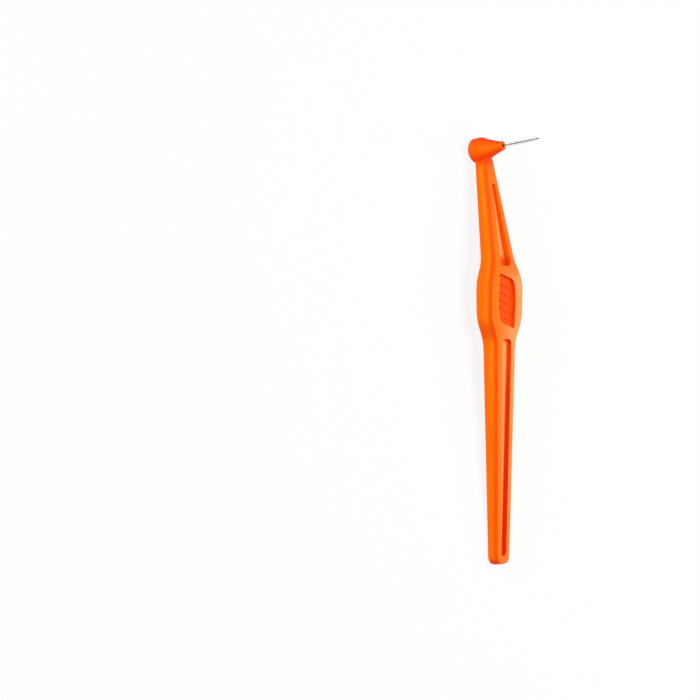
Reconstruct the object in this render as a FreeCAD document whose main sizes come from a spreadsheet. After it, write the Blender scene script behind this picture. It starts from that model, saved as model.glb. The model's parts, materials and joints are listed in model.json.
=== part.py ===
import FreeCAD, Part
import math
import os

import Sketcher
from FreeCAD import Placement, Rotation, Vector

# An interdental brush: a flat moulded handle, a folded and twisted wire, and nylon filaments.
# It is drawn with the tail end at the origin, the shaft along -X and the front face up. It is then
# tipped to lie on its back, on the head and the tail, as it lies on a table.

# Driving sizes, in millimetres and degrees.
SIZES = {
    # Plan outline of the handle, from the tail to the head: lengths along X and full widths.
    "shaft_length": 78.2,
    "shoulder_length": 7.7,
    "grip_length": 13.3,
    "fall_length": 7.9,
    "tail_width": 8.1,
    "waist_width": 11.8,
    "grip_width": 20.0,
    "neck_root_width": 12.6,
    "neck_end_width": 2.7,
    "tail_corner_radius": 2.9,
    "shoulder_radius": 12.0,
    "fall_radius": 13.0,
    # Side outline: the neck leans back past the grip. The sides are bevelled towards the front face.
    "tail_thickness": 4.3,
    "neck_end_thickness": 5.1,
    "neck_angle": 9.3,
    "neck_length": 42.0,
    "bend_after_grip": 4.9,
    "front_bend_after_grip": 1.6,
    "front_bend_height": 3.95,
    "back_bend_after_grip": 4.8,
    "back_bend_height": 3.35,
    "bend_radius": 30.0,
    "bevel_height": 1.6,
    "bevel_inset": 0.45,
    "bevel_radius": 4.0,
    "front_edge_radius": 0.25,
    "back_edge_radius": 1.2,
    # Groove in the front of the shaft.
    "shaft_groove_start": 3.2,
    "shaft_groove_length": 76.0,
    "shaft_groove_tail_width": 3.2,
    "shaft_groove_waist_width": 5.8,
    "shaft_groove_depth": 1.8,
    "shaft_groove_floor_radius": 1.0,
    "shaft_groove_tail_radius": 1.2,
    "shaft_groove_waist_radius": 1.8,
    # Grooves in the front and the back of the neck. Heights are those of the floor over the axis.
    "neck_groove_start": 0.3,
    "neck_groove_length": 29.3,
    "neck_groove_wide_width": 6.8,
    "neck_groove_narrow_width": 1.9,
    "neck_groove_wide_height": 0.9,
    "neck_groove_narrow_height": 1.5,
    "neck_groove_wide_radius": 1.6,
    "neck_groove_narrow_radius": 0.8,
    "neck_groove_floor_radius": 0.6,
    # Thumb recess, with two pointed and two round corners, and its grip bars.
    "recess_length": 19.4,
    "recess_middle_width": 10.8,
    "recess_end_width": 9.4,
    "recess_end_slant": 2.3,
    "recess_round_radius": 4.0,
    "recess_point_radius": 0.6,
    "recess_middle_radius": 30.0,
    "recess_depth": 1.5,
    "recess_floor_radius": 0.4,
    "bar_length": 6.6,
    "bar_width": 1.0,
    "bar_corner_radius": 0.42,
    "bar_height": 0.45,
    "bar_pitch": 2.8,
    "bar_slant": 14.0,
    # Head and nose, measured from the axis of the neck along the axis of the nose.
    "head_radius": 4.5,
    "head_back_depth": 4.9,
    "head_back_radius": 5.75,
    "head_back_edge_radius": 1.4,
    "head_root_radius": 0.6,
    "head_shoulder_start": 0.85,
    "head_shoulder_radius": 2.6,
    "nose_base_distance": 3.05,
    "nose_base_radius": 3.4,
    "nose_blend_radius": 5.0,
    "nose_length": 8.95,
    "nose_end_radius": 1.72,
    "nose_lip_length": 0.7,
    "nose_lip_step": 0.13,
    "nose_edge_radius": 0.3,
    "mouth_radius": 0.62,
    "mouth_depth": 0.9,
    "wire_anchor_depth": 1.3,
    # Depth of the small flats on the head and the tail, so that the handle lies without rolling.
    "rest_flat_depth": 0.05,
    # Wire and filaments.
    "strand_diameter": 0.2,
    "wire_length": 15.2,
    "half_turn_length": 1.03,
    "filament_diameter": 0.06,
    "filament_length": 2.15,
    "bare_wire_length": 2.1,
    "filament_gap": 0.022,
    "fit_clearance": 0.01,
    # Every cut runs this far past the face that it opens.
    "cut_overrun": 6.0,
}

GRIP_BARS = 5

# Two places closer than this are the same place, in millimetres.
SNAP = 0.05
# The normals of the broad faces rise more than this, and those of the bevel and the sides less.
BROAD_RISE_SHARE = 0.8
# The normals of the bevel rise more than this, and those of the sides less.
BEVEL_RISE_SHARE = 0.1
# The volume of the wire's tube matches its section times its length this closely.
TUBE_VOLUME_SHARE = 0.01

doc = FreeCAD.newDocument("interdental_brush")
sheet = doc.addObject("Spreadsheet::Sheet", "sizes")
for line, (alias, value) in enumerate(SIZES.items(), start=1):
    sheet.set(f"A{line}", alias)
    sheet.set(f"B{line}", str(value))
    sheet.setAlias(f"B{line}", alias)
doc.recompute()

# Places along the handle, as expressions in the driving sizes.
WAIST = "sizes.shaft_length"
GRIP_START = f"({WAIST} + sizes.shoulder_length)"
GRIP_END = f"({GRIP_START} + sizes.grip_length)"
NECK_ROOT = f"({GRIP_END} + sizes.fall_length)"
BEND = f"({GRIP_END} + sizes.bend_after_grip)"
FRONT_BEND = f"({GRIP_END} + sizes.front_bend_after_grip)"
BACK_BEND = f"({GRIP_END} + sizes.back_bend_after_grip)"
HEAD_ALONG = f"({BEND} + sizes.neck_length * cos(sizes.neck_angle))"
HEAD_HEIGHT = "(-sizes.neck_length * sin(sizes.neck_angle))"
GRIP_MIDDLE = f"({GRIP_START} + sizes.grip_length / 2)"


def number(expression):
    """The present value of an expression in the driving sizes."""
    return float(sheet.evalExpression(expression))


def size(alias):
    """The value of one driving size."""
    return number(f"sizes.{alias}")


def origin_item(body, role):
    """One of a body's own origin planes or axes, such as XY_Plane."""
    return next(item for item in body.Origin.OriginFeatures if item.Role == role)


def new_sketch(body, name, role, base=("0", "0", "0"), axis=(0, 0, 1), angle="0"):
    """A sketch on an origin plane, shifted and turned by expressions in the plane's own axes."""
    sketch = body.newObject("Sketcher::SketchObject", name)
    sketch.AttachmentSupport = (origin_item(body, role), [""])
    sketch.MapMode = "FlatFace"
    # A first turn of one degree makes the rotation keep its axis.
    sketch.AttachmentOffset = Placement(Vector(), Rotation(Vector(*axis), 1))
    for letter, expression in zip("xyz", base):
        sketch.setExpression(f"AttachmentOffset.Base.{letter}", expression)
    sketch.setExpression("AttachmentOffset.Rotation.Angle", angle)
    return sketch


def constrain(sketch, free, driven):
    """Adds constraints to a sketch. The driven ones have a name and are bound to an expression."""
    sketch.addConstraint([Sketcher.Constraint(*arguments) for arguments in free])
    first = sketch.ConstraintCount
    dimensions = [Sketcher.Constraint(*arguments, number(value)) for name, value, arguments in driven]
    sketch.addConstraint(dimensions)
    for index, (name, value, arguments) in enumerate(driven, start=first):
        sketch.renameConstraint(index, name)
        sketch.setExpression(f"Constraints.{name}", value)


def left_arc(start, end, radius):
    """The arc that turns left from one point to another."""
    chord = end - start
    left = Vector(-chord.y, chord.x).normalize()
    centre = (start + end) / 2 + left * math.sqrt(radius**2 - (chord.Length / 2) ** 2)
    return Part.Arc(start, centre - left * radius, end)


def round_corner(before, corner, after, radius):
    """The arc that rounds a corner, where it starts and ends, and whether it turns left."""
    back, ahead = (before - corner).normalize(), (after - corner).normalize()
    half_angle = back.getAngle(ahead) / 2
    reach = radius / math.tan(half_angle)
    arrival, departure = corner + back * reach, corner + ahead * reach
    nearest = corner + (back + ahead).normalize() * (radius / math.sin(half_angle) - radius)
    return Part.Arc(arrival, nearest, departure), arrival, departure, back.cross(ahead).z < 0


def draw_outline(sketch, corners, curved=None):
    """A closed outline of runs between corners.

    A corner is the expressions of its place, and of its radius where it is round. The place of a round
    corner is the point where its two runs would meet. Runs are straight, apart from those that curved
    gives a radius by the number of the corner where they start, which turn left.
    """
    curved = curved or {}
    count, first = len(corners), sketch.GeometryCount
    points = [Vector(number(across), number(up)) for across, up, *radius in corners]
    arrivals, departures, arcs = list(points), list(points), {}
    for index, (across, up, *radius) in enumerate(corners):
        if radius:
            neighbours = points[index - 1], points[index], points[(index + 1) % count]
            arc, arrivals[index], departures[index], left = round_corner(*neighbours, number(radius[0]))
            arcs[index] = (arc, (1, 2) if left else (2, 1))
    free, driven = [], []
    for index in range(count):
        start, end = departures[index], arrivals[(index + 1) % count]
        if index in curved:
            sketch.addGeometry(left_arc(start, end, number(curved[index])))
            driven.append((f"bow_{first + index}", curved[index], ("Radius", first + index)))
        else:
            sketch.addGeometry(Part.LineSegment(start, end))
    for index, (across, up, *radius) in enumerate(corners):
        run, run_before = first + index, first + (index - 1) % count
        place = run
        if radius:
            arc, (arrival, departure) = arcs[index]
            bend = sketch.addGeometry(arc)
            place = sketch.addGeometry(Part.Point(points[index]), True)
            free.append(("Tangent", run_before, 2, bend, arrival))
            free.append(("Tangent", bend, departure, run, 1))
            free.append(("PointOnObject", place, 1, run_before))
            free.append(("PointOnObject", place, 1, run))
            driven.append((f"radius_{run}", radius[0], ("Radius", bend)))
        else:
            free.append(("Coincident", run_before, 2, run, 1))
        for kind, axis, expression in (("DistanceX", -2, across), ("DistanceY", -1, up)):
            if expression == "0":
                free.append(("PointOnObject", place, 1, axis))
            else:
                driven.append((f"{kind}_{run}", expression, (kind, place, 1)))
    constrain(sketch, free, driven)


def mirrored(half):
    """A half outline and its mirror image across the X axis, as one closed outline."""
    return half + [(along, f"-({across})", *radius) for along, across, *radius in reversed(half)]


def add_feature(body, kind, name, sketch, **settings):
    """Adds a sketch-based feature to a body, with lengths given as expressions."""
    volume = 0 if body.Tip is None else body.Shape.Volume
    feature = body.newObject(f"PartDesign::{kind}", name)
    feature.Profile = sketch
    for setting, value in settings.items():
        if setting == "Length":
            feature.setExpression(setting, value)
        else:
            setattr(feature, setting, value)
    doc.recompute()
    cuts = kind in ("Pocket", "Groove")
    if cuts and body.Shape.Volume >= volume or not cuts and body.Shape.Volume <= volume:
        raise ValueError(f"{name} points the wrong way")


def dress_edges(body, kind, name, wanted, **settings):
    """Adds a fillet or chamfer on the edges of a body's tip that pass a test. Settings name sizes."""
    base = body.Tip
    edges = enumerate(base.Shape.Edges, start=1)
    names = [f"Edge{index}" for index, edge in edges if not edge.Degenerated and wanted(base.Shape, edge)]
    if not names:
        raise ValueError(f"{name} found no edge")
    feature = body.newObject(f"PartDesign::{kind}", name)
    feature.Base = (base, names)
    if kind == "Chamfer":
        feature.ChamferType = "Two distances"
    for setting, alias in settings.items():
        feature.setExpression(setting, f"sizes.{alias}")
    doc.recompute()


def add_fillet(body, name, wanted, radius):
    """Rounds the edges of a body's tip that pass a test."""
    dress_edges(body, "Fillet", name, wanted, Radius=radius)


def middle(edge):
    """The point halfway along an edge."""
    return edge.valueAt((edge.FirstParameter + edge.LastParameter) / 2)


def is_outline(side, share):
    """Test for the edges all along the handle between a face that rises more than a share and one that
    rises less, towards the front (1) or the back (-1)."""
    head_start = size("head_radius") - number(HEAD_ALONG)

    def wanted(shape, edge):
        place = middle(edge)
        rises = []
        for face in shape.ancestorsOfType(edge, Part.Face):
            rises.append(face.normalAt(*face.Surface.parameter(place)).z * side)
        return place.x > head_start and max(rises) > share > min(rises)

    return wanted


def is_floor(sketch):
    """Test for the edges round a floor that a sketch was drawn on."""
    to_floor = sketch.Placement.inverse()

    def wanted(shape, edge):
        return all(abs(to_floor.multVec(point).z) < SNAP for point in edge.discretize(3))

    return wanted


def is_ring(along):
    """Test for the circle about the axis of the nose at a distance along it, given as an expression."""
    centre = NOSE_PLACE.multVec(Vector(0, 0, number(along)))

    def wanted(shape, edge):
        return isinstance(edge.Curve, Part.Circle) and (edge.Curve.Center - centre).Length < SNAP

    return wanted


def is_seam(first, second):
    """Test for the edges where the surfaces of two shapes meet."""

    def wanted(shape, edge):
        point = Part.Vertex(middle(edge))
        return all(form.Shells[0].distToShape(point)[0] < SNAP for form in (first, second))

    return wanted


# Where the wire is drawn: the centre of the head, with +Z out of the nose.
NOSE_PLACE = Placement(
    Vector(-number(HEAD_ALONG), 0, number(HEAD_HEIGHT)),
    Rotation(Vector(0, 1, 0), -size("neck_angle")),
)

# Handle: the side outline is padded past the full width, and what lies outside the plan is cut away.
handle = doc.addObject("PartDesign::Body", "handle")
neck_half = "(sizes.neck_end_thickness / 2)"
neck_front_end = (
    f"-({HEAD_ALONG} + {neck_half} * sin(sizes.neck_angle))",
    f"{HEAD_HEIGHT} + {neck_half} * cos(sizes.neck_angle)",
)
neck_back_end = (
    f"-({HEAD_ALONG} - {neck_half} * sin(sizes.neck_angle))",
    f"{HEAD_HEIGHT} - {neck_half} * cos(sizes.neck_angle)",
)
side_sketch = new_sketch(handle, "side_outline", "XZ_Plane")
draw_outline(
    side_sketch,
    [
        ("0", "sizes.tail_thickness / 2"),
        (f"-{FRONT_BEND}", "sizes.front_bend_height", "sizes.bend_radius"),
        neck_front_end,
        neck_back_end,
        (f"-{BACK_BEND}", "-sizes.back_bend_height", "sizes.bend_radius"),
        ("0", "-sizes.tail_thickness / 2"),
    ],
)
full_width = "sizes.grip_width + sizes.cut_overrun"
add_feature(handle, "Pad", "side_pad", side_sketch, Length=full_width, Midplane=True)

plan_sketch = new_sketch(handle, "plan_outline", "XY_Plane")
plan_end = f"({HEAD_ALONG} + sizes.head_radius)"
outside_end = f"({plan_end} + sizes.cut_overrun)"
outside_half = "(sizes.grip_width / 2 + sizes.cut_overrun)"
outside = [("sizes.cut_overrun", outside_half), (f"-{outside_end}", outside_half)]
draw_outline(plan_sketch, mirrored(outside))
half_plan = [
    ("0", "sizes.tail_width / 2", "sizes.tail_corner_radius"),
    (f"-{WAIST}", "sizes.waist_width / 2", "sizes.shoulder_radius"),
    (f"-{GRIP_START}", "sizes.grip_width / 2", "sizes.shoulder_radius"),
    (f"-{GRIP_END}", "sizes.grip_width / 2", "sizes.fall_radius"),
    (f"-{NECK_ROOT}", "sizes.neck_root_width / 2", "sizes.fall_radius"),
    (f"-{plan_end}", "sizes.neck_end_width / 2"),
]
draw_outline(plan_sketch, mirrored(half_plan))
add_feature(handle, "Pocket", "plan_cut", plan_sketch, Type="ThroughAll", Midplane=True)
front_outline = is_outline(1, BROAD_RISE_SHARE)
dress_edges(handle, "Chamfer", "front_bevel", front_outline, Size="bevel_inset", Size2="bevel_height")
add_fillet(handle, "bevel_edges", is_outline(1, BEVEL_RISE_SHARE), "bevel_radius")
add_fillet(handle, "front_edges", front_outline, "front_edge_radius")
add_fillet(handle, "back_edges", is_outline(-1, BROAD_RISE_SHARE), "back_edge_radius")

# Groove along the shaft, parallel to the front face. Each groove and recess is drawn on its floor and
# opens outwards.
front_rise = f"((sizes.front_bend_height - sizes.tail_thickness / 2) / {FRONT_BEND})"
front_turn = f"atan({front_rise})"
groove_base = ("0", "0", "sizes.tail_thickness / 2 - sizes.shaft_groove_depth")
groove_sketch = new_sketch(handle, "shaft_groove_outline", "XY_Plane", groove_base, (0, 1, 0), front_turn)
groove_end = "(sizes.shaft_groove_start + sizes.shaft_groove_length)"
half_groove = [
    ("-sizes.shaft_groove_start", "sizes.shaft_groove_tail_width / 2", "sizes.shaft_groove_tail_radius"),
    (f"-{groove_end}", "sizes.shaft_groove_waist_width / 2", "sizes.shaft_groove_waist_radius"),
]
draw_outline(groove_sketch, mirrored(half_groove))
add_feature(handle, "Pocket", "shaft_groove", groove_sketch, Length="sizes.cut_overrun", Reversed=True)
add_fillet(handle, "shaft_groove_floor", is_floor(groove_sketch), "shaft_groove_floor_radius")

# Grooves along the neck, on floors that rise towards the head.
floor_step = "(sizes.neck_groove_narrow_height - sizes.neck_groove_wide_height)"
half_neck_groove = [
    ("0", "sizes.neck_groove_wide_width / 2", "sizes.neck_groove_wide_radius"),
    ("-sizes.neck_groove_length", "sizes.neck_groove_narrow_width / 2", "sizes.neck_groove_narrow_radius"),
]
for face, sign in (("front", ""), ("back", "-")):
    height = f"({sign}sizes.neck_groove_wide_height)"
    neck_base = (
        f"-({BEND} + sizes.neck_groove_start * cos(sizes.neck_angle) + {height} * sin(sizes.neck_angle))",
        "0",
        f"{height} * cos(sizes.neck_angle) - sizes.neck_groove_start * sin(sizes.neck_angle)",
    )
    neck_turn = f"{sign}atan({floor_step} / sizes.neck_groove_length) - sizes.neck_angle * 1deg"
    neck_sketch = new_sketch(handle, f"neck_{face}_outline", "XY_Plane", neck_base, (0, 1, 0), neck_turn)
    draw_outline(neck_sketch, mirrored(half_neck_groove))
    settings = {"Length": "sizes.cut_overrun", "Reversed": face == "front"}
    add_feature(handle, "Pocket", f"neck_{face}_groove", neck_sketch, **settings)
    add_fillet(handle, f"neck_{face}_floor", is_floor(neck_sketch), "neck_groove_floor_radius")

# Thumb recess, parallel to the front face: its second half is the first turned half round.
recess_height = f"sizes.tail_thickness / 2 + {front_rise} * {GRIP_MIDDLE} - sizes.recess_depth"
recess_base = (f"-{GRIP_MIDDLE}", "0", recess_height)
recess_sketch = new_sketch(handle, "recess_outline", "XY_Plane", recess_base, (0, 1, 0), front_turn)
round_end = "sizes.recess_length / 2 - sizes.recess_end_slant"
half_recess = [
    ("-sizes.recess_length / 2", "-sizes.recess_end_width / 2", "sizes.recess_point_radius"),
    ("0", "-sizes.recess_middle_width / 2", "sizes.recess_middle_radius"),
    (round_end, "-sizes.recess_end_width / 2", "sizes.recess_round_radius"),
]
turned_half = [(f"-({along})", f"-({across})", radius) for along, across, radius in half_recess]
draw_outline(recess_sketch, half_recess + turned_half)
add_feature(handle, "Pocket", "recess", recess_sketch, Length="sizes.cut_overrun", Reversed=True)
add_fillet(handle, "recess_floor", is_floor(recess_sketch), "recess_floor_radius")

# Slanted grip bars on the floor of the recess.
bar_sketch = new_sketch(handle, "bar_outlines", "XY_Plane", recess_base, (0, 1, 0), front_turn)
for bar in range(GRIP_BARS):
    bar_place = f"({bar - (GRIP_BARS - 1) / 2}) * sizes.bar_pitch"
    bar_corners = []
    for end, side in (("-", "-"), ("-", ""), ("", ""), ("", "-")):
        long, wide = f"({end}sizes.bar_length / 2)", f"({side}sizes.bar_width / 2)"
        along = f"{bar_place} + {wide} * cos(sizes.bar_slant) + {long} * sin(sizes.bar_slant)"
        across = f"{long} * cos(sizes.bar_slant) - {wide} * sin(sizes.bar_slant)"
        bar_corners.append((along, across, "sizes.bar_corner_radius"))
    draw_outline(bar_sketch, bar_corners)
add_feature(handle, "Pad", "bars", bar_sketch, Length="sizes.bar_height")

# Head and nose: one turned form, joined to the end of the neck.
head_base = (f"-{HEAD_ALONG}", HEAD_HEIGHT, "0")
head_form = doc.addObject("PartDesign::Body", "head_form")
head_sketch = new_sketch(head_form, "head_profile", "XZ_Plane", head_base, (0, 0, 1), "sizes.neck_angle")
rim_reach = "sqrt(sizes.head_back_radius ^ 2 - sizes.head_radius ^ 2)"
rim_depth = f"(sizes.head_back_depth - sizes.head_back_radius + {rim_reach})"
lip_start = "(sizes.nose_length - sizes.nose_lip_length)"
head_profile = [
    ("0", "-sizes.head_back_depth"),
    ("sizes.head_radius", f"-{rim_depth}"),
    ("sizes.head_radius", "sizes.head_shoulder_start"),
    ("sizes.nose_base_radius", "sizes.nose_base_distance"),
    ("sizes.nose_end_radius - sizes.nose_lip_step", lip_start),
    ("sizes.nose_end_radius", f"{lip_start} + sizes.nose_lip_step"),
    ("sizes.nose_end_radius", "sizes.nose_length"),
    ("0", "sizes.nose_length"),
]
draw_outline(head_sketch, head_profile, curved={0: "sizes.head_back_radius"})
add_feature(head_form, "Revolution", "turned_head", head_sketch, ReferenceAxis=(head_sketch, ["V_Axis"]))
add_fillet(head_form, "back_edge", is_ring(f"-{rim_depth}"), "head_back_edge_radius")
add_fillet(head_form, "shoulder_edge", is_ring("sizes.head_shoulder_start"), "head_shoulder_radius")
add_fillet(head_form, "nose_blend", is_ring("sizes.nose_base_distance"), "nose_blend_radius")
add_fillet(head_form, "nose_edge", is_ring("sizes.nose_length"), "nose_edge_radius")
neck_shape, head_shape = handle.Shape.copy(), head_form.Shape.copy()
head_join = handle.newObject("PartDesign::Boolean", "head_join")
head_join.Type = "Fuse"
head_join.setObjects([head_form])
doc.recompute()
add_fillet(handle, "head_root", is_seam(head_shape, neck_shape), "head_root_radius")

# Socket of the wire: a wide mouth in the nose, then a narrow bore to the moulded-in ends.
STRAND_RADIUS = "(sizes.strand_diameter / 2)"
TWIST_RADIUS = f"({STRAND_RADIUS} + sizes.filament_diameter / 2 + sizes.fit_clearance)"
bore_radius = f"({TWIST_RADIUS} + {STRAND_RADIUS} + sizes.fit_clearance)"
socket_sketch = new_sketch(handle, "socket_profile", "XZ_Plane", head_base, (0, 0, 1), "sizes.neck_angle")
socket_profile = [
    ("0", "-sizes.wire_anchor_depth"),
    (bore_radius, "-sizes.wire_anchor_depth"),
    (bore_radius, "sizes.nose_length - sizes.mouth_depth"),
    ("sizes.mouth_radius", "sizes.nose_length - sizes.mouth_depth"),
    ("sizes.mouth_radius", "sizes.nose_length + sizes.cut_overrun"),
    ("0", "sizes.nose_length + sizes.cut_overrun"),
]
draw_outline(socket_sketch, socket_profile)
add_feature(handle, "Groove", "wire_socket", socket_sketch, ReferenceAxis=(socket_sketch, ["V_Axis"]))

# At rest it lies on its back: a line touches the round back of the head and the tail's back edge. Small
# flats are cut along that line.
back_reach = "(sizes.head_back_radius - sizes.head_back_depth)"
run_along = f"({HEAD_ALONG} + {back_reach} * sin(sizes.neck_angle) - sizes.back_edge_radius)"
tail_drop = "(sizes.back_edge_radius - sizes.tail_thickness / 2)"
run_up = f"({tail_drop} - {HEAD_HEIGHT} - {back_reach} * cos(sizes.neck_angle))"
run_length = f"sqrt({run_along} ^ 2 + {run_up} ^ 2)"
round_step = "(sizes.head_back_radius - sizes.back_edge_radius)"
LEAN = f"(atan({run_up} / {run_along}) + asin({round_step} / {run_length}))"
rest_base = (
    f"sizes.back_edge_radius * (sin({LEAN}) - 1)",
    f"{tail_drop} - sizes.back_edge_radius * cos({LEAN})",
    "0",
)
rest_sketch = new_sketch(handle, "rest_outline", "XZ_Plane", rest_base, (0, 0, 1), LEAN)
rest_cut = [
    ("sizes.cut_overrun", "sizes.rest_flat_depth"),
    (f"-{outside_end}", "sizes.rest_flat_depth"),
    (f"-{outside_end}", "-sizes.cut_overrun"),
    ("sizes.cut_overrun", "-sizes.cut_overrun"),
]
draw_outline(rest_sketch, rest_cut)
add_feature(handle, "Pocket", "rest_flats", rest_sketch, Type="ThroughAll", Midplane=True)

# Wire: one tube, up one strand of the twist, over the fold at the tip and down the other strand.
strand_radius, twist_radius = number(STRAND_RADIUS), number(TWIST_RADIUS)
half_turn = size("half_turn_length")
turn_rate = math.pi / half_turn


def strand_point(height):
    """A point on the middle line of the first strand."""
    angle = turn_rate * height
    return Vector(twist_radius * math.cos(angle), twist_radius * math.sin(angle), height)


def strand_course(height):
    """The direction of the first strand."""
    angle, slope = turn_rate * height, turn_rate * twist_radius
    return Vector(-slope * math.sin(angle), slope * math.cos(angle), 1).normalize()


def tangent_arc(start, corner, end):
    """The arc whose end tangents meet at a corner, equally far from both ends."""
    half_angle = (corner - start).getAngle(end - start)
    nearest = corner + ((start + end) / 2 - corner) / (1 + math.cos(half_angle))
    return Part.Arc(start, nearest, end).toShape()


def biarc(start, start_course, end, end_course):
    """Two arcs, tangent to each other, from one point and direction to another."""
    reach = end - start
    along = reach.dot(start_course + end_course)
    spread = 2 * (1 - start_course.dot(end_course))
    step = (math.sqrt(along**2 + spread * reach.dot(reach)) - along) / spread
    first_corner, second_corner = start + start_course * step, end - end_course * step
    joint = (first_corner + second_corner) / 2
    return [tangent_arc(start, first_corner, joint), tangent_arc(joint, second_corner, end)]


fold_height = size("nose_length") + size("wire_length") - strand_radius - twist_radius
twist_top = fold_height - half_turn / 4
# The ends of the wire stand just over the floor of the bore.
twist_bottom = size("fit_clearance") + strand_radius - size("wire_anchor_depth")
quarter_turns = round((twist_top - twist_bottom) / (half_turn / 2))
quarter_rise = (twist_top - twist_bottom) / quarter_turns
strand = []
for quarter in range(quarter_turns):
    low = twist_bottom + quarter * quarter_rise
    high = low + quarter_rise
    strand += biarc(strand_point(low), strand_course(low), strand_point(high), strand_course(high))
fold_start = strand_point((twist_top + fold_height) / 2)
fold_start.z = fold_height
strand += biarc(strand_point(twist_top), strand_course(twist_top), fold_start, Vector(0, 0, 1))
half_round = Placement(Vector(), Rotation(Vector(0, 0, 1), 180))
fold_end, fold_top = half_round.multVec(fold_start), Vector(0, 0, fold_height + twist_radius)
fold = Part.Arc(fold_start, fold_top, fold_end).toShape()
other_strand = [edge.transformed(half_round.toMatrix()) for edge in reversed(strand)]
wire_path = Part.Wire(strand + [fold] + other_strand)
strand_end = Part.makeCircle(strand_radius, strand_point(twist_bottom), strand_course(twist_bottom))
wire_core = doc.addObject("Part::Feature", "wire_core")
wire_core.Shape = wire_path.makePipeShell([Part.Wire(strand_end)], True, False)
tube_volume = math.pi * strand_radius**2 * wire_path.Length
if abs(wire_core.Shape.Volume / tube_volume - 1) > TUBE_VOLUME_SHARE:
    raise ValueError("the tube of the wire doesn't have its section all along")

# Filaments: each lies across the slit between the strands, and a row fills half a turn.
bristle_start = size("nose_length") + size("bare_wire_length")
row_count = int((twist_top - bristle_start) / half_turn)
row_filaments = int(half_turn / (size("filament_diameter") + size("filament_gap")))
filament_rows = []
for row in range(1, row_count + 1):
    filaments = []
    for step in range(row_filaments):
        filament = doc.addObject("Part::Cylinder", f"filament_{row:02d}_{step + 1:02d}")
        filament.setExpression("Radius", "sizes.filament_diameter / 2")
        filament.setExpression("Height", "sizes.filament_length")
        height = bristle_start + (row - 1 + (step + 1 / 2) / row_filaments) * half_turn
        across = strand_point(height).cross(Vector(0, 0, 1)).normalize()
        start = Vector(0, 0, height) - across * (size("filament_length") / 2)
        filament.Placement = Placement(start, Rotation(Vector(0, 0, 1), across))
        filaments.append(filament)
    filament_row = doc.addObject("Part::Compound", f"filament_row_{row:02d}")
    filament_row.Links = filaments
    filament_rows.append(filament_row)
doc.recompute()

# The whole part is tipped onto its flats, with the middle of its length over the origin.
lying = Placement(Vector(), Rotation(Vector(0, 1, 0), number(f"{LEAN} / 1deg")))
sub_parts = {handle: Placement(), wire_core: NOSE_PLACE}
sub_parts.update({filament_row: NOSE_PLACE for filament_row in filament_rows})
for sub_part, place in sub_parts.items():
    sub_part.Placement = lying * place
doc.recompute()
box = FreeCAD.BoundBox()
for sub_part in sub_parts:
    box.add(sub_part.Shape.optimalBoundingBox(False, False))
lying = Placement(Vector(-box.Center.x, 0, -box.ZMin), lying.Rotation)
for sub_part, place in sub_parts.items():
    sub_part.Placement = lying * place
doc.recompute()

print(f"{box.XLength:.2f} x {box.YLength:.2f} x {box.ZLength:.2f} mm")
print(f"{row_count} rows of {row_filaments} filaments")
failed = [item.Name for item in doc.Objects if {"Invalid", "Error"} & set(item.State)]
failed += [item.Label for item in sub_parts if item.Shape.isNull() or not item.Shape.isValid()]
if failed:
    raise ValueError(f"not built: {failed}")
os.makedirs("parts", exist_ok=True)
for sub_part in sub_parts:
    sub_part.Shape.exportStep(f"parts/{sub_part.Label}.step")
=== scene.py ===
"""Looks of an interdental brush: an orange moulded handle, a twisted wire and its nylon filaments."""

import json
import logging
import math
from dataclasses import dataclass
from enum import Enum

import bpy
from mathutils import Matrix, Vector

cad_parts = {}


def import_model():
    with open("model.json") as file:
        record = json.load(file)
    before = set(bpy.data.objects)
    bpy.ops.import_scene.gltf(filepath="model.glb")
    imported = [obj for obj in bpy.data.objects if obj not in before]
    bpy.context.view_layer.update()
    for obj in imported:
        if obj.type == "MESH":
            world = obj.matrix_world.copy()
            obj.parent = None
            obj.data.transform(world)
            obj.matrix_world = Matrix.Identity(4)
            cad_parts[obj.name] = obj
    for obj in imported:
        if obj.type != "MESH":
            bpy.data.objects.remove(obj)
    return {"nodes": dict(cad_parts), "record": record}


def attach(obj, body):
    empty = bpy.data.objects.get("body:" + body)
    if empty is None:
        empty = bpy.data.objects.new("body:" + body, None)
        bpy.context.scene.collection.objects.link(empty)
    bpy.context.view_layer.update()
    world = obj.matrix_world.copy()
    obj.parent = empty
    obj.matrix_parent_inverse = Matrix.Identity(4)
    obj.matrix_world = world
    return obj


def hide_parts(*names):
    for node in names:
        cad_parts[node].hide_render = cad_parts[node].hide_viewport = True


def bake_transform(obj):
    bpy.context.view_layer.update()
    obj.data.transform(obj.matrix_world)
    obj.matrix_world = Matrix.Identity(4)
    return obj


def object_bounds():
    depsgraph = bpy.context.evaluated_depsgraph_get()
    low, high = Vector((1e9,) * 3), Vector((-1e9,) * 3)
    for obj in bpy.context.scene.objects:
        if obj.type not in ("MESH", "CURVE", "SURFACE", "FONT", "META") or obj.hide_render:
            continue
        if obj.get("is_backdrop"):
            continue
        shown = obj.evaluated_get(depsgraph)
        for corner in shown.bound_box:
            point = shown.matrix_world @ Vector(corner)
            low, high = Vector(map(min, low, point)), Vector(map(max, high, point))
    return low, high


log = logging.getLogger("interdental_brush")

MILLIMETRE = 0.001

# Numbers of the Mix node's sockets for colours.
MIX_FIRST, MIX_SECOND, MIX_RESULT = 6, 7, 2

Colour = tuple[float, float, float, float]
Socket = bpy.types.NodeSocket


class Body(str, Enum):
    """The bodies of the frame that pieces ride on."""

    HANDLE = "handle"
    BRUSH = "brush"


class Slot(str, Enum):
    """The names of the record's material slots for the wire and the filaments; the script doesn't use
    them.
    """

    STEEL = "wire_steel"
    NYLON = "filament_nylon"


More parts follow.
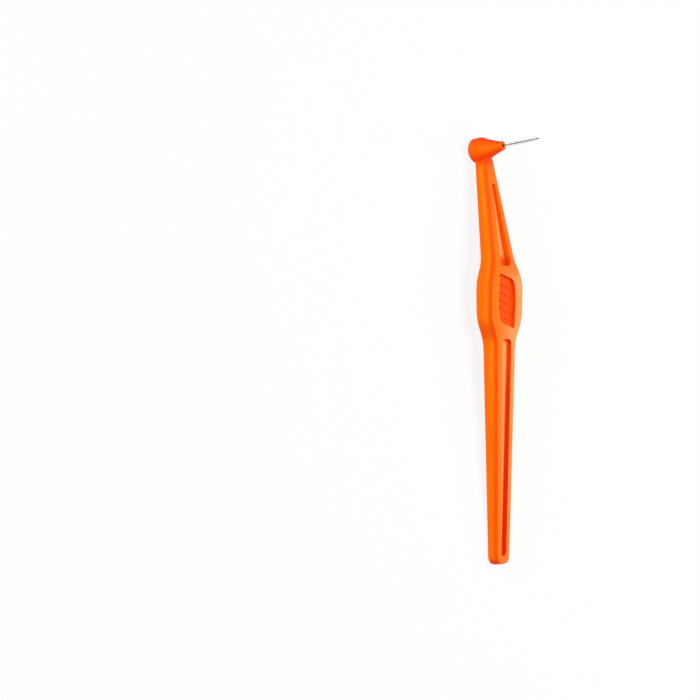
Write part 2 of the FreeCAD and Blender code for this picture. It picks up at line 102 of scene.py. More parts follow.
def srgb(red: int, green: int, blue: int) -> Colour:
    """A colour given in display values from 0 to 255.

    Args:
        red: Red value.
        green: Green value.
        blue: Blue value.

    Returns:
        The colour in linear values, opaque.
    """
    shares = [value / 255 for value in (red, green, blue)]
    linear = [share / 12.92 if share <= 0.04045 else ((share + 0.055) / 1.055) ** 2.4 for share in shares]
    return (linear[0], linear[1], linear[2], 1.0)


WHITE: Colour = srgb(255, 255, 255)
WARM_WHITE: Colour = srgb(255, 228, 186)


class NodeWriter:
    """Adds nodes to a tree and links them, so that a tree reads like a formula."""

    def __init__(self, tree: bpy.types.NodeTree) -> None:
        """Writes into one tree.

        Args:
            tree: A shader or geometry tree.
        """
        self.tree = tree

    def add(self, kind: str, inputs: dict[str | int, object], **settings: object) -> bpy.types.Node:
        """Adds one node.

        Args:
            kind: The node's type name.
            inputs: Values, or sockets to link from, by the input's name or number.
            settings: Properties of the node.

        Returns:
            The new node.
        """
        node = self.tree.nodes.new(kind)
        for name, value in settings.items():
            setattr(node, name, value)
        for key, value in inputs.items():
            if isinstance(value, Socket):
                self.tree.links.new(value, node.inputs[key])
            else:
                node.inputs[key].default_value = value
        return node

    def math(self, operation: str, *terms: float | Socket) -> Socket:
        """Adds a Math node.

        Args:
            operation: Such as MULTIPLY.
            terms: Its numbers or sockets, in order.

        Returns:
            The result.
        """
        return self.add("ShaderNodeMath", dict(enumerate(terms)), operation=operation).outputs[0]

    def ramp(self, value: Socket, start: float, end: float, low: float = 0.0, high: float = 1.0) -> Socket:
        """Goes from one share to another between two values of a number.

        Args:
            value: The number.
            start: Its value at the low share.
            end: Its value at the high share.
            low: The low share.
            high: The high share.

        Returns:
            The share.
        """
        limits = {"Value": value, "From Min": start, "From Max": end, "To Min": low, "To Max": high}
        return self.add("ShaderNodeMapRange", limits).outputs[0]

    def peak(self, value: Socket, start: float, full: float, end: float) -> Socket:
        """Goes from 0 to 1 and back to 0 along a number.

        Args:
            value: The number.
            start: Its value at the first 0.
            full: Its value at 1.
            end: Its value at the second 0.

        Returns:
            The share.
        """
        return self.math("MINIMUM", self.ramp(value, start, full), self.ramp(value, end, full))

    def mix(self, share: Socket, first: Colour | Socket, second: Colour | Socket) -> Socket:
        """Mixes two colours.

        Args:
            share: The share of the second colour.
            first: The colour at 0.
            second: The colour at 1.

        Returns:
            The mixed colour.
        """
        colours = {"Factor": share, MIX_FIRST: first, MIX_SECOND: second}
        return self.add("ShaderNodeMix", colours, data_type="RGBA").outputs[MIX_RESULT]

    def noise(self, place: Socket, size: float, detail: float) -> Socket:
        """Adds a noise texture.

        Args:
            place: The coordinates.
            size: How large its clouds are.
            detail: How many finer layers it has.

        Returns:
            The noise.
        """
        clouds = {"Vector": place, "Scale": 1 / size, "Detail": detail}
        return self.add("ShaderNodeTexNoise", clouds).outputs[0]

    def bump(self, height: Socket, distance: float, **onto: Socket) -> Socket:
        """Bends the normal by a height.

        Args:
            height: The height.
            distance: What a height of 1 stands for.
            onto: The normal to bend, as Normal, where it isn't the surface's own.

        Returns:
            The bent normal.
        """
        relief = {"Height": height, "Distance": distance, "Strength": 1.0}
        return self.add("ShaderNodeBump", relief | onto).outputs[0]

    def depth(self, place: Socket, point: Vector, normal: Vector) -> Socket:
        """How far a place lies below a plane.

        Args:
            place: The place's coordinates.
            point: A point of the plane.
            normal: The plane's upward normal.

        Returns:
            The depth.
        """
        drop = self.add("ShaderNodeVectorMath", {0: point, 1: place}, operation="SUBTRACT").outputs[0]
        return self.add("ShaderNodeVectorMath", {0: drop, 1: normal}, operation="DOT_PRODUCT").outputs[1]

    def point(self, across: float | Socket, along: float | Socket, up: float | Socket) -> Socket:
        """Joins three numbers to a vector."""
        return self.add("ShaderNodeCombineXYZ", {0: across, 1: along, 2: up}).outputs[0]


class GeometryRecipe(NodeWriter):
    """A geometry tree with named sizes, which ends as a plain mesh."""

    def __init__(self, name: str) -> None:
        """Starts an empty tree.

        Args:
            name: The tree's name.
        """
        super().__init__(bpy.data.node_groups.new(name, "GeometryNodeTree"))
        self.tree.interface.new_socket("Geometry", in_out="OUTPUT", socket_type="NodeSocketGeometry")
        self.group_input = self.tree.nodes.new("NodeGroupInput")
        self.values: dict[str, float | int] = {}

    def size(self, name: str, value: float | int) -> Socket:
        """Adds a named input.

        Args:
            name: The input's name.
            value: A length in metres, or a count.

        Returns:
            The socket that gives it.
        """
        kind = "NodeSocketInt" if isinstance(value, int) else "NodeSocketFloat"
        item = self.tree.interface.new_socket(name, in_out="INPUT", socket_type=kind)
        self.values[item.identifier] = value
        return self.group_input.outputs[name]

    def random(self, spread: float, seed: int) -> Socket:
        """A random number for each point.

        Args:
            spread: The number is up to this far from zero.
            seed: A fixed seed.

        Returns:
            The number.
        """
        limits = {2: -spread, 3: spread, "Seed": seed}
        return self.add("FunctionNodeRandomValue", limits, data_type="FLOAT").outputs[1]

    def tube(self, curve: Socket, radius: Socket, sides: int) -> Socket:
        """A closed, smooth tube along a curve.

        Args:
            curve: The middle line.
            radius: The tube's radius.
            sides: Faces round it.

        Returns:
            The tube's mesh.
        """
        circle = {"Resolution": sides, "Radius": radius}
        ring = self.add("GeometryNodeCurvePrimitiveCircle", circle).outputs[0]
        skin = {"Curve": curve, "Profile Curve": ring, "Fill Caps": True}
        mesh = self.add("GeometryNodeCurveToMesh", skin).outputs[0]
        return self.add("GeometryNodeSetShadeSmooth", {0: mesh}).outputs[0]

    def make(
        self, piece: str, geometry: Socket, material: bpy.types.Material, place: Matrix
    ) -> bpy.types.Object:
        """Turns the tree's result into a plain mesh object.

        Args:
            piece: The object's name.
            geometry: What the tree made.
            material: Its finish.
            place: Where the tree's own frame lies in the part's frame.

        Returns:
            The object, at the origin, with its place in its mesh.
        """
        whole = self.add("GeometryNodeRealizeInstances", {0: geometry}).outputs[0]
        dressed = self.add("GeometryNodeSetMaterial", {0: whole, "Material": material}).outputs[0]
        self.add("NodeGroupOutput", {0: dressed})
        made = bpy.data.objects.new(piece, bpy.data.meshes.new(piece))
        bpy.context.scene.collection.objects.link(made)
        modifier = made.modifiers.new(piece, "NODES")
        modifier.node_group = self.tree
        for identifier, value in self.values.items():
            modifier[identifier] = value
        graph = bpy.context.evaluated_depsgraph_get()
        mesh = bpy.data.meshes.new_from_object(made.evaluated_get(graph), depsgraph=graph)
        made.modifiers.remove(modifier)
        mesh.transform(place)
        made.data = mesh
        return made


class Finish:
    """What all finishes share: a material with one Principled shader."""

    def start(self, name: str) -> tuple[bpy.types.Material, NodeWriter, bpy.types.Node]:
        """Makes a new material.

        Args:
            name: The material's name.

        Returns:
            The material, a writer for its tree, and its shader.
        """
        material = bpy.data.materials.new(name)
        material.use_nodes = True
        return material, NodeWriter(material.node_tree), material.node_tree.nodes["Principled BSDF"]


@dataclass(frozen=True)
class HandleSpot:
    """Where a shaded point of the handle lies and which way it faces, as sockets of a material's tree."""

    endways: Socket
    sideways: Socket
    rise: Socket
    across: Socket
    past_thumb: Socket
    past_head: Socket
    front_depth: Socket
    nose_depth: Socket

    @classmethod
    def read(cls, write: NodeWriter, place: Socket, part: "PartFrame") -> "HandleSpot":
        """Adds the nodes that find the point.

        Args:
            write: The writer of the material's tree.
            place: Object coordinates.
            part: The loaded frame.

        Returns:
            The point's sockets.
        """
        facing = write.add("ShaderNodeNewGeometry", {}).outputs["True Normal"]
        endways, sideways, rise = write.add("ShaderNodeSeparateXYZ", {0: facing}).outputs
        along, across, _ = write.add("ShaderNodeSeparateXYZ", {0: place}).outputs
        depths = [write.depth(place, *plane) for plane in part.front_planes()]
        return cls(
            endways=endways,
            sideways=sideways,
            rise=rise,
            across=across,
            past_thumb=write.math("SUBTRACT", along, part.thumb_point.x),
            past_head=write.math("SUBTRACT", along, part.head_centre().x),
            front_depth=write.math("MINIMUM", *depths),
            nose_depth=write.depth(place, part.head_centre(), part.nose_axis),
        )


@dataclass(frozen=True)
class MouldedPlastic(Finish):
    """Satin orange polypropylene, as it comes out of a polished mould."""

    # Shares are parts of a face's normal, reaches run along the handle from the thumb rest or the head
    # towards the tail, and depths run down from the front face or from the middle of the head.
    colour: Colour = srgb(254, 115, 2)
    deep_colour: Colour = srgb(252, 108, 1)
    # Painted shade: the bevel along the front edge is coloured darker, as it gets less light than the
    # sides.
    bevel_shade_colour: Colour = srgb(244, 84, 0)
    bevel_shares: tuple[float, float, float] = (0.1, 0.24, 0.6)
    # Painted highlight: a lighter band along the middle of the sides, below the head.
    band_highlight_colour: Colour = srgb(255, 132, 12)
    band_depths: tuple[float, float, float] = (1.4 * MILLIMETRE, 2.4 * MILLIMETRE, 3.9 * MILLIMETRE)
    band_reaches: tuple[float, float] = (48 * MILLIMETRE, 18 * MILLIMETRE)
    # Painted shade: faces turned towards the tail or the head, the top of the head and the neck just under
    # it are coloured darker and redder.
    end_shade_colour: Colour = srgb(246, 68, 0)
    tail_shares: tuple[float, float] = (0.2, 0.6)
    head_shares: tuple[float, float] = (-0.4, -0.8)
    head_reaches: tuple[float, float] = (4.5 * MILLIMETRE, 6.5 * MILLIMETRE)
    head_share: float = 0.3
    joint_reaches: tuple[float, float] = (0.8 * MILLIMETRE, 2.6 * MILLIMETRE)
    joint_depths: tuple[float, float] = (3.0 * MILLIMETRE, -1.5 * MILLIMETRE)
    joint_share: float = 1.0
    # Painted shade: walls that face into the hollows and the floor of the recess are coloured darker and
    # redder.
    wall_shade_colour: Colour = srgb(240, 62, 0)
    recess_shade_colour: Colour = srgb(243, 80, 6)
    # Painted sheen: the floors of the grooves are coloured pale.
    groove_sheen_colour: Colour = srgb(255, 168, 104)
    wall_shares: tuple[float, float] = (-0.25, -0.6)
    floor_shares: tuple[float, float] = (0.8, 0.95)
    floor_depths: tuple[float, float] = (0.35 * MILLIMETRE, 2.7 * MILLIMETRE)
    neck_reaches: tuple[float, float] = (-16 * MILLIMETRE, -18 * MILLIMETRE)
    shaft_reaches: tuple[float, float] = (10.5 * MILLIMETRE, 13.5 * MILLIMETRE)
    wall_reaches: tuple[float, float] = (12 * MILLIMETRE, 32 * MILLIMETRE)
    wall_share: float = 0.55
    recess_roughness: float = 0.35
    roughness: float = 0.27
    roughness_spread: float = 0.06
    cloud_size: float = 9 * MILLIMETRE
    cloud_detail: float = 3.0
    grain_size: float = 0.35 * MILLIMETRE
    grain_detail: float = 2.0
    grain_depth: float = 0.004 * MILLIMETRE
    crown_radius: float = 90 * MILLIMETRE
    refraction: float = 1.49
    specular_level: float = 0.12
    sheen_colour: Colour = srgb(255, 232, 150)
    glow_weight: float = 0.15
    glow_reach: float = 1.2 * MILLIMETRE
    glow_shares: tuple[float, float, float] = (1.0, 0.22, 0.03)

    def material(self, part: "PartFrame") -> bpy.types.Material:
        """The finish as a material.

        Args:
            part: The loaded frame, which says where the front faces lie.

        Returns:
            The material.
        """
        material, write, shader = self.start("satin_orange_plastic")
        place = write.add("ShaderNodeTexCoord", {}).outputs["Object"]
        spot = HandleSpot.read(write, place, part)
        cloud = write.noise(place, self.cloud_size, self.cloud_detail)
        colour = write.mix(cloud, self.colour, self.deep_colour)
        colour, recess = self.hollows(write, spot, self.sides(write, spot, colour))
        low, high = self.roughness - self.roughness_spread, self.roughness + self.roughness_spread
        haze = write.ramp(cloud, 0.0, 1.0, low, high)
        haze = write.math("MULTIPLY_ADD", recess, self.recess_roughness, haze)
        grain = write.noise(place, self.grain_size, self.grain_detail)
        normal = write.bump(grain, self.grain_depth, Normal=self.crown(write, spot))
        for name, socket in (("Base Color", colour), ("Roughness", haze), ("Normal", normal)):
            write.tree.links.new(socket, shader.inputs[name])
        shader.inputs["IOR"].default_value = self.refraction
        shader.inputs["Specular IOR Level"].default_value = self.specular_level
        shader.inputs["Specular Tint"].default_value = self.sheen_colour
        shader.inputs["Subsurface Weight"].default_value = self.glow_weight
        shader.inputs["Subsurface Radius"].default_value = self.glow_shares
        shader.inputs["Subsurface Scale"].default_value = self.glow_reach
        return material

    def sides(self, write: NodeWriter, spot: HandleSpot, colour: Socket) -> Socket:
        """Colours the sides with painted light: a painted highlight band, painted shade on the bevel, and
        painted shade on faces at the ends and round the head.

        Args:
            write: The writer of the material's tree.
            spot: The shaded point.
            colour: The colour of the other faces.

        Returns:
            The colour of all faces.
        """
        below_head = write.ramp(spot.past_head, *self.head_reaches)
        # Painted highlight: a lighter band at a middle depth of the sides.
        band = write.peak(spot.front_depth, *self.band_depths)
        band = write.math("MULTIPLY", band, write.ramp(spot.past_thumb, *self.band_reaches))
        colour = write.mix(write.math("MULTIPLY", band, below_head), colour, self.band_highlight_colour)
        # Painted shade on the bevel, whose normal rises a little towards the front.
        bevel = write.peak(spot.rise, *self.bevel_shares)
        colour = write.mix(write.math("MULTIPLY", bevel, below_head), colour, self.bevel_shade_colour)
        # Painted shade under the head and round the joint of head and neck, and on faces turned towards
        # the ends.
        front = write.ramp(spot.nose_depth, *self.joint_depths)
        joint = write.math("MULTIPLY", write.ramp(spot.past_head, *self.joint_reaches), front)
        shade = write.ramp(joint, 0.0, 1.0, self.head_share, self.joint_share)
        shade = write.math("MULTIPLY", shade, write.math("SUBTRACT", 1.0, below_head))
        turned = [write.ramp(spot.endways, *shares) for shares in (self.tail_shares, self.head_shares)]
        end_shade = write.math("MAXIMUM", write.math("MAXIMUM", *turned), shade)
        return write.mix(end_shade, colour, self.end_shade_colour)

    def hollows(self, write: NodeWriter, spot: HandleSpot, colour: Socket) -> tuple[Socket, Socket]:
        """Colours the hollows with painted light: painted shade on the walls and the recess floor, and a
        painted sheen on the groove floors.

        Args:
            write: The writer of the material's tree.
            spot: The shaded point.
            colour: The colour of the other faces.

        Returns:
            The colour of all faces, and the share of the recess floor, which is matt.
        """
        # Floors below the front face get painted shade in the recess and a painted sheen in the grooves.
        shallow, deep = self.floor_depths
        sunk = write.math("GREATER_THAN", spot.front_depth, shallow)
        sunk = write.math("MULTIPLY", sunk, write.math("LESS_THAN", spot.front_depth, deep))
        floor = write.math("MULTIPLY", sunk, write.ramp(spot.rise, *self.floor_shares))
        on_neck = write.ramp(spot.past_thumb, *self.neck_reaches)
        groove = write.math("MAXIMUM", on_neck, write.ramp(spot.past_thumb, *self.shaft_reaches))
        colour = write.mix(floor, colour, write.mix(groove, self.recess_shade_colour, self.groove_sheen_colour))
        # Painted shade on walls that face in towards the middle of the handle, weaker on the grip.
        inward = write.math("MULTIPLY", write.math("SIGN", spot.across), spot.sideways)
        below_neck = write.math("SUBTRACT", 1.0, on_neck)
        wall = write.math("MULTIPLY", write.ramp(inward, *self.wall_shares), below_neck)
        past_grip = write.ramp(spot.past_thumb, *self.wall_reaches, self.wall_share, 1.0)
        colour = write.mix(write.math("MULTIPLY", wall, past_grip), colour, self.wall_shade_colour)
        return colour, write.math("MULTIPLY", floor, write.math("SUBTRACT", 1.0, groove))

    def crown(self, write: NodeWriter, spot: HandleSpot) -> Socket:
        """The slight crown of the broad faces, which fall away on both sides of the middle.

        Args:
            write: The writer of the material's tree.
            spot: The shaded point.

        Returns:
            The crowned normal.
        """
        square = write.math("MULTIPLY", spot.across, spot.across)
        return write.bump(write.math("DIVIDE", square, -2 * self.crown_radius), 1.0)


@dataclass(frozen=True)
class DrawnSteel(Finish):
    """Stainless wire with fine lines along it from drawing, and painted glints once each half turn of its
    twist.
    """

    colour: Colour = srgb(20, 19, 18)
    groove_colour: Colour = srgb(8, 8, 8)
    glint_colour: Colour = srgb(124, 118, 116)
    glint_turn: float = math.radians(6.2)
    roughness: float = 0.38
    line_size: float = 0.04 * MILLIMETRE
    line_detail: float = 2.0
    line_depth: float = 0.002 * MILLIMETRE

    def material(self, part: "PartFrame", half_turn: float) -> bpy.types.Material:
        """The finish as a material.

        Args:
            part: The loaded frame, which says where the wire lies.
            half_turn: Half the pitch of its twist.

        Returns:
            The material.
        """
        material, write, shader = self.start("drawn_steel_wire")
        place = write.add("ShaderNodeTexCoord", {}).outputs["Object"]
        line = write.noise(place, self.line_size, self.line_detail)
        colour = write.mix(line, self.groove_colour, self.colour)
        # Painted glints: a lighter colour where the strands turn edge-on, once each half turn.
        drop = write.depth(place, part.nose_end, part.nose_axis)
        turn = write.math("MULTIPLY_ADD", drop, -math.pi / half_turn, -self.glint_turn)
        glint = write.math("POWER", write.math("SINE", turn), 2.0)
        colour = write.mix(glint, colour, self.glint_colour)
        write.tree.links.new(colour, shader.inputs["Base Color"])
        write.tree.links.new(write.bump(line, self.line_depth), shader.inputs["Normal"])
        shader.inputs["Metallic"].default_value = 1.0
        shader.inputs["Roughness"].default_value = self.roughness
        return material


@dataclass(frozen=True)
class NylonFilament(Finish):
    """Fine white nylon that lets light through."""

    colour: Colour = srgb(252, 250, 250)
    shade_colour: Colour = srgb(240, 236, 236)
    roughness: float = 0.3
    streak_size: float = 0.5 * MILLIMETRE
    streak_detail: float = 2.0
    transmission: float = 0.85
    refraction: float = 1.53

    def material(self) -> bpy.types.Material:
        """The finish as a material.

        Returns:
            The material.
        """
        material, write, shader = self.start("white_nylon_filament")
        place = write.add("ShaderNodeTexCoord", {}).outputs["Object"]
        streak = write.noise(place, self.streak_size, self.streak_detail)
        colour = write.mix(streak, self.shade_colour, self.colour)
        write.tree.links.new(colour, shader.inputs["Base Color"])
        shader.inputs["Roughness"].default_value = self.roughness
        shader.inputs["Transmission Weight"].default_value = self.transmission
        shader.inputs["IOR"].default_value = self.refraction
        return material


class PartFrame:
    """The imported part, and the places that the looks are built from."""

    neck_angle: float = math.radians(9.3)
    recess_depth: float = 1.5 * MILLIMETRE
    thumb_to_bend: float = 9.65 * MILLIMETRE
    nose_length: float = 8.95 * MILLIMETRE
    neck_end_half: float = 2.55 * MILLIMETRE

    def __init__(self) -> None:
        """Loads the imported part."""
        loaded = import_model()
        self.nodes: dict[str, bpy.types.Object] = loaded["nodes"]
        mounts = {mount["name"]: mount for mount in loaded["record"]["mounts"]}
        self.thumb_point = Vector(mounts["thumb_rest"]["pos_m"])
        self.thumb_axis = Vector(mounts["thumb_rest"]["axis"])
        self.nose_end = Vector(mounts["cap_seat"]["pos_m"])
        self.nose_axis = Vector(mounts["cap_seat"]["axis"])
        self.front_normal = Matrix.Rotation(self.neck_angle, 3, "Y") @ self.nose_axis
        self.lowest, self.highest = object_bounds()

    def front_planes(self) -> list[tuple[Vector, Vector]]:
        """The planes of the front face.

        Returns:
            A point and the normal of the plane of the shaft with the grip, and of the plane of the neck.
        """
        across = Vector((0, 1, 0))
        headward = -across.cross(self.thumb_axis)
        bend = self.thumb_point + self.thumb_axis * self.recess_depth + headward * self.thumb_to_bend
        neck_end = self.head_centre() + self.nose_axis * self.neck_end_half
        return [(bend, self.thumb_axis), (bend, across.cross(neck_end - bend).normalized())]

    def head_centre(self) -> Vector:
        """The middle of the head, where the axes of the neck and the nose meet."""
        return self.along_nose(-self.nose_length)

    def nose_place(self) -> Matrix:
        """The frame of the wire: its origin at the end of the nose, +Z along the wire."""
        turn = Vector((0, 0, 1)).rotation_difference(self.nose_axis)
        return Matrix.Translation(self.nose_end) @ turn.to_matrix().to_4x4()

    def along_nose(self, distance: float) -> Vector:
        """The point on the wire's axis at a distance from the end of the nose."""
        return self.nose_end + self.nose_axis * distance


@dataclass(frozen=True)
class Handle:
    """The moulded handle, which keeps its own shape."""

    finish: MouldedPlastic = MouldedPlastic()

    def build(self, part: PartFrame) -> None:
        """Dresses the handle.

        Args:
            part: The loaded frame.
        """
        mesh = part.nodes["handle"].data
        mesh.materials.clear()
        mesh.materials.append(self.finish.material(part))
        log.info("handle: dressed, %d faces", len(mesh.polygons))


@dataclass(frozen=True)
class TwistedWire:
    """One wire, folded at the tip, whose two strands twist round each other."""

    finish: DrawnSteel = DrawnSteel()
    strand_radius: float = 0.1 * MILLIMETRE
    twist_radius: float = 0.14 * MILLIMETRE
    half_turn: float = 1.03 * MILLIMETRE
    free_length: float = 15.2 * MILLIMETRE
    hidden_length: float = 10.2 * MILLIMETRE
    mouth_depth: float = 0.9 * MILLIMETRE
    bare_length: float = 2.1 * MILLIMETRE
    steps: int = 1024
    sides: int = 10

    def build(self, part: PartFrame) -> None:
        """Makes the wire, which runs from inside the nose to the fold at its tip.

        Args:
            part: The loaded frame.
        """
        recipe = GeometryRecipe("twisted_wire")
        strand = recipe.size("Strand radius", self.strand_radius)
        twist = recipe.size("Twist radius", self.twist_radius)
        half_turn = recipe.size("Half turn", self.half_turn)
        tip = recipe.size("Free length", self.free_length)
        hidden = recipe.size("Hidden length", self.hidden_length)
        steps = recipe.size("Steps", self.steps)

        fold = recipe.math("SUBTRACT", recipe.math("SUBTRACT", tip, strand), twist)
        bend = recipe.math("MULTIPLY", twist, math.pi / 2)
        reach = recipe.math("ADD", recipe.math("ADD", fold, hidden), bend)
        line = recipe.add("GeometryNodeCurvePrimitiveLine", {}).outputs[0]
        course = recipe.add("GeometryNodeResampleCurve", {"Curve": line, "Count": steps}).outputs[0]
        share = recipe.add("GeometryNodeSplineParameter", {}).outputs["Factor"]
        way = recipe.math("MULTIPLY_ADD", share, 2.0, -1.0)
        from_tip = recipe.math("MULTIPLY", recipe.math("ABSOLUTE", way), reach)
        turn_back = recipe.math("MINIMUM", recipe.math("DIVIDE", from_tip, twist), math.pi / 2)
        side = recipe.math("MULTIPLY", recipe.math("SIGN", way), twist)
        off_axis = recipe.math("MULTIPLY", recipe.math("SINE", turn_back), side)
        dome = recipe.math("MULTIPLY", recipe.math("COSINE", turn_back), twist)
        descent = recipe.math("MAXIMUM", recipe.math("SUBTRACT", from_tip, bend), 0.0)
        height = recipe.math("SUBTRACT", recipe.math("ADD", fold, dome), descent)
        rate = recipe.math("DIVIDE", math.pi, half_turn)
        angle = recipe.math("MULTIPLY", recipe.math("MINIMUM", height, fold), rate)
        across = recipe.math("MULTIPLY", recipe.math("COSINE", angle), off_axis)
        along = recipe.math("MULTIPLY", recipe.math("SINE", angle), off_axis)
        twisted = {"Geometry": course, "Position": recipe.point(across, along, height)}
        path = recipe.add("GeometryNodeSetPosition", twisted).outputs[0]
        tube = recipe.tube(path, strand, self.sides)

        steel = self.finish.material(part, self.half_turn)
        wire = recipe.make("twisted_wire", tube, steel, part.nose_place())
        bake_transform(wire)
        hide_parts("wire_core")
        log.info("twisted wire: %d faces", len(wire.data.polygons))


@dataclass(frozen=True)
class Bristles:
    """The filaments, held between the strands of the wire and turned by its twist."""

    finish: NylonFilament = NylonFilament()
    filament_radius: float = 0.03 * MILLIMETRE
    filament_length: float = 2.15 * MILLIMETRE
    tip_lift: float = 0.06 * MILLIMETRE
    rows: int = 12
    filaments_per_row: int = 12
    turn_spread: float = math.radians(7)
    tilt_spread: float = math.radians(4)
    length_spread_share: float = 0.03
    segments: int = 5
    sides: int = 6
    seed: int = 11

    def build(self, part: PartFrame, wire: TwistedWire) -> None:
        """Makes the filaments.

        Args:
            part: The loaded frame.
            wire: The wire that holds them.
        """
        recipe = GeometryRecipe("bristles")
        radius = recipe.size("Filament radius", self.filament_radius)
        half_length = recipe.size("Half length", self.filament_length / 2)
        lift = recipe.size("Tip lift", self.tip_lift)
        first = recipe.size("First filament", wire.bare_length)
        half_turn = recipe.size("Half turn", wire.half_turn)
        count = recipe.size("Filaments", self.rows * self.filaments_per_row)

        backwards = recipe.math("MULTIPLY", half_length, -1.0)
        dip = recipe.math("MULTIPLY", lift, -1.0)
        bow = {
            "Resolution": self.segments,
            "Start": recipe.point(backwards, 0.0, lift),
            "Middle": recipe.point(0.0, 0.0, dip),
            "End": recipe.point(half_length, 0.0, lift),
        }
        curve = recipe.add("GeometryNodeCurveQuadraticBezier", bow).outputs[0]
        filament = recipe.tube(curve, radius, self.sides)

        spacing = recipe.math("DIVIDE", half_turn, float(self.filaments_per_row))
        middle = recipe.math("MULTIPLY_ADD", spacing, 0.5, first)
        steps = {
            "Count": count,
            "Start Location": recipe.point(0.0, 0.0, middle),
            "Offset": recipe.point(0.0, 0.0, spacing),
        }
        stations = recipe.add("GeometryNodeMeshLine", steps).outputs[0]
        place = recipe.add("GeometryNodeInputPosition", {}).outputs[0]
        height = recipe.add("ShaderNodeSeparateXYZ", {0: place}).outputs[2]
        rate = recipe.math("DIVIDE", math.pi, half_turn)
        turn = recipe.math("MULTIPLY_ADD", height, rate, math.pi / 2)
        loose_turn = recipe.math("ADD", turn, recipe.random(self.turn_spread, self.seed))
        tilt = recipe.random(self.tilt_spread, self.seed + 1)
        stretch = recipe.math("ADD", recipe.random(self.length_spread_share, self.seed + 2), 1.0)
        rows = {
            "Points": stations,
            "Instance": filament,
            "Rotation": recipe.point(0.0, tilt, loose_turn),
            "Scale": recipe.point(stretch, 1.0, 1.0),
        }
        brush = recipe.add("GeometryNodeInstanceOnPoints", rows).outputs[0]

        bristles = recipe.make("bristles", brush, self.finish.material(), part.nose_place())
        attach(bristles, Body.BRUSH.value)
        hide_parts(*(name for name in part.nodes if name.startswith("filament_row")))
        log.info("bristles: %d faces", len(bristles.data.polygons))


@dataclass(frozen=True)
class PhotoCamera:
    """A camera at the photograph's viewing angle, with the brush where the photograph has it."""

    pixels: int = 700
    pixel_size: float = 0.3508 * MILLIMETRE
    thumb_pixel: tuple[float, float] = (503.9, 304.8)
    elevation: float = math.radians(34)
    distance: float = 4.0
    sensor_width: float = 36.0

    def build(self, part: PartFrame) -> None:
        """Makes the camera.

        Args:
            part: The loaded frame.
        """
        across = Vector((0, 1, 0))
        up = -across.cross(part.front_normal)
        back = part.front_normal * math.sin(self.elevation) - across * math.cos(self.elevation)
        right = up.cross(back)
        column, row = self.thumb_pixel
        centre = part.thumb_point
        centre = centre - right * (column - self.pixels / 2) * self.pixel_size
        centre = centre + up * (row - self.pixels / 2) * self.pixel_size
        lens = bpy.data.cameras.new("photo_camera")
        lens.sensor_width = self.sensor_width
        lens.lens = self.sensor_width * self.distance / (self.pixels * self.pixel_size)
        camera = bpy.data.objects.new("photo_camera", lens)
        turn = Matrix((right, up, back)).transposed().to_4x4()
        camera.matrix_world = Matrix.Translation(centre + back * self.distance) @ turn
        bpy.context.scene.collection.objects.link(camera)
        bpy.context.scene.camera = camera


@dataclass(frozen=True)
class SoftBox:
    """A square lamp that faces the part."""

    name: str
    azimuth: float
    elevation: float
    width: float
    watts: float
    colour: Colour = WHITE
    distance: float = 0.9

    def build(self, target: Vector) -> None:
        """Makes the lamp.

        Args:
            target: The point that it faces.
        """
        lamp = bpy.data.lights.new(self.name, "AREA")
        lamp.size = self.width
        lamp.energy = self.watts
        lamp.color = self.colour[:3]
        azimuth, elevation = math.radians(self.azimuth), math.radians(self.elevation)
        flat = Vector((math.sin(azimuth), -math.cos(azimuth), 0)) * math.cos(elevation)
        outward = flat + Vector((0, 0, math.sin(elevation)))
        holder = bpy.data.objects.new(self.name, lamp)
        turn = outward.to_track_quat("Z", "Y").to_matrix().to_4x4()
        holder.matrix_world = Matrix.Translation(target + outward * self.distance) @ turn
        bpy.context.scene.collection.objects.link(holder)


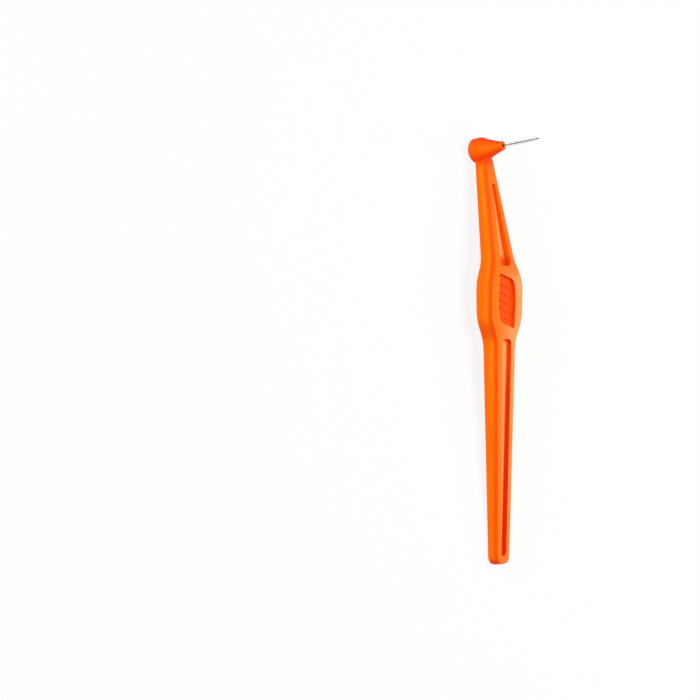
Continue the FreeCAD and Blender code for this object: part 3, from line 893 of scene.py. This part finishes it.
@dataclass(frozen=True)
class Studio:
    """A pale floor, a white surround and soft lamps."""

    floor_size: float = 6.0
    floor_colour: Colour = srgb(240, 240, 240)
    floor_glow_share: float = 0.88
    surround_strength: float = 0.1
    lamps: tuple[SoftBox, ...] = (
        SoftBox("top_softbox", azimuth=180, elevation=82, width=0.8, watts=9.0),
        SoftBox("low_softbox", azimuth=180, elevation=25.5, width=0.2, watts=1.5, colour=WARM_WHITE),
        SoftBox("fill_softbox", azimuth=-15, elevation=8, width=0.5, watts=5.4),
    )

    def build(self, part: PartFrame) -> None:
        """Makes the floor, the surround and the lamps.

        Args:
            part: The loaded frame.
        """
        self.floor(part.lowest.z)
        self.surround()
        target = (part.lowest + part.highest) / 2
        for lamp in self.lamps:
            lamp.build(target)
        bpy.context.scene.view_settings.view_transform = "Standard"

    def floor(self, height: float) -> None:
        """Makes the floor, which keeps the shadow and is white where there is none.

        Args:
            height: The part's lowest point.
        """
        material = bpy.data.materials.new("pale_floor")
        material.use_nodes = True
        write = NodeWriter(material.node_tree)
        matt = write.add("ShaderNodeBsdfDiffuse", {"Color": self.floor_colour}).outputs[0]
        glow = write.add("ShaderNodeEmission", {"Strength": 1.0}).outputs[0]
        seen = write.add("ShaderNodeLightPath", {}).outputs["Is Camera Ray"]
        share = write.math("MULTIPLY", seen, self.floor_glow_share)
        mixed = write.add("ShaderNodeMixShader", {0: share, 1: matt, 2: glow}).outputs[0]
        write.tree.links.new(mixed, write.tree.nodes["Material Output"].inputs["Surface"])
        half = self.floor_size / 2
        outline = ((-half, -half), (half, -half), (half, half), (-half, half))
        corners = [(across, along, height) for across, along in outline]
        mesh = bpy.data.meshes.new("floor")
        mesh.from_pydata(corners, [], [(0, 1, 2, 3)])
        mesh.materials.append(material)
        floor = bpy.data.objects.new("floor", mesh)
        bpy.context.scene.collection.objects.link(floor)
        floor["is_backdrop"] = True

    def surround(self) -> None:
        """Makes the world: white where it is seen, and a soft light elsewhere."""
        world = bpy.data.worlds.new("surround")
        world.use_nodes = True
        bpy.context.scene.world = world
        write = NodeWriter(world.node_tree)
        path = write.add("ShaderNodeLightPath", {}).outputs
        seen = write.math("MAXIMUM", path["Is Camera Ray"], path["Is Transmission Ray"])
        seen = write.math("MAXIMUM", seen, path["Is Glossy Ray"])
        strength = write.ramp(seen, 0.0, 1.0, self.surround_strength, 1.0)
        background = write.tree.nodes["Background"]
        background.inputs["Color"].default_value = WHITE
        write.tree.links.new(strength, background.inputs["Strength"])


def main() -> None:
    """Builds the brush, the camera and the studio."""
    logging.basicConfig(level=logging.INFO, format="%(message)s")
    part = PartFrame()
    PhotoCamera().build(part)
    Handle().build(part)
    wire = TwistedWire()
    wire.build(part)
    Bristles().build(part, wire)
    Studio().build(part)


if __name__ == "__main__":
    main()
